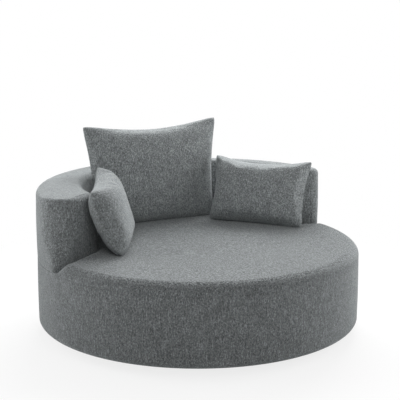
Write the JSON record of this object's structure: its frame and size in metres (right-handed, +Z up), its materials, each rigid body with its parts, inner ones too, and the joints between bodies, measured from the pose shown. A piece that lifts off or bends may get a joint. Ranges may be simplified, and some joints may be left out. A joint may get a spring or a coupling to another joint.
{
  "type": "cuddle chair",
  "caption": "Round upholstered cuddle chair on a hidden swivel base, its thick back wall curling round the seat into two arms, with a large back pillow and side pillows.",
  "frame": {"origin": "on the floor, under the swivel axis, at the middle of the round drum", "axes": "+Z up; the opening of the wall faces -Y, so the back of the wall is at +Y; +X is to the right seen from the front, the side of the thinner arm"},
  "size_m": [1.38, 1.38, 0.8465],
  "materials": {
    "seat_fabric": "cool grey flecked chenille weave, matt with a soft sheen at grazing angles",
    "pillow_fabric": "the same chenille, reading darker on the upright pillow faces",
    "foam": "cream open-cell upholstery foam",
    "wadding": "white fibre filling in a plain case",
    "timber": "unfinished birch plywood",
    "zinc": "zinc-plated pressed steel",
    "spring_steel": "dark tempered spring wire",
    "felt": "black felt and spun underlining cloth"
  },
  "bodies": {
    "base": {"base_plinth": "timber", "turntable_lower_plate": "zinc", "turntable_ball_ring": "zinc", "glide_1": "felt", "glide_2": "felt", "glide_3": "felt", "glide_4": "felt", "glide_5": "felt", "plinth_screw_1": "zinc", "plinth_screw_2": "zinc", "plinth_screw_3": "zinc", "plinth_screw_4": "zinc"},
    "chair": {"turntable_upper_plate": "zinc", "cross_rails": "timber", "bottom_ring": "timber", "seat_deck": "timber", "spring_pad": "felt", "seat_foam": "foam", "seat_cover": "seat_fabric", "side_board": "timber", "side_foam": "foam", "band_cover": "seat_fabric", "dust_cover": "felt", "back_bottom_rib": "timber", "back_top_rib": "timber", "back_outer_board": "timber", "back_inner_board": "timber", "back_foam": "foam", "back_cover": "seat_fabric", "seat_spring_1": "spring_steel", "back_upright_1": "timber", "seat_spring_2": "spring_steel", "back_upright_2": "timber", "seat_spring_3": "spring_steel", "back_upright_3": "timber", "seat_spring_4": "spring_steel", "back_upright_4": "timber", "seat_spring_5": "spring_steel", "back_upright_5": "timber", "plate_bolt_1": "zinc", "plate_bolt_2": "zinc", "plate_bolt_3": "zinc", "plate_bolt_4": "zinc", "seat_post_1": "timber", "seat_post_2": "timber", "seat_post_3": "timber", "seat_post_4": "timber", "seat_post_5": "timber", "seat_post_6": "timber"},
    "back_pillow": {"back_pillow_front_panel": "pillow_fabric", "back_pillow_back_panel": "pillow_fabric", "back_pillow_insert": "wadding"},
    "right_pillow": {"right_pillow_front_panel": "pillow_fabric", "right_pillow_back_panel": "pillow_fabric", "right_pillow_insert": "wadding"},
    "left_pillow": {"left_pillow_front_panel": "pillow_fabric", "left_pillow_back_panel": "pillow_fabric", "left_pillow_insert": "wadding"}
  },
  "joints": [
    {"name": "seat_swivel", "type": "hinge", "parent": "base", "child": "chair", "pos_m": [0, 0, 0.03], "axis": [0, 0, 1], "continuous": true},
    {"name": "back_pillow_lift", "type": "slide", "parent": "chair", "child": "back_pillow", "axis": [0.0154, 0.1034, 0.9945], "range_m": [0, 0.45]},
    {"name": "right_pillow_lift", "type": "slide", "parent": "chair", "child": "right_pillow", "axis": [0, 0, 1], "range_m": [0, 0.45]},
    {"name": "left_pillow_lift", "type": "slide", "parent": "chair", "child": "left_pillow", "axis": [0, 0, 1], "range_m": [0, 0.45]}
  ]
}
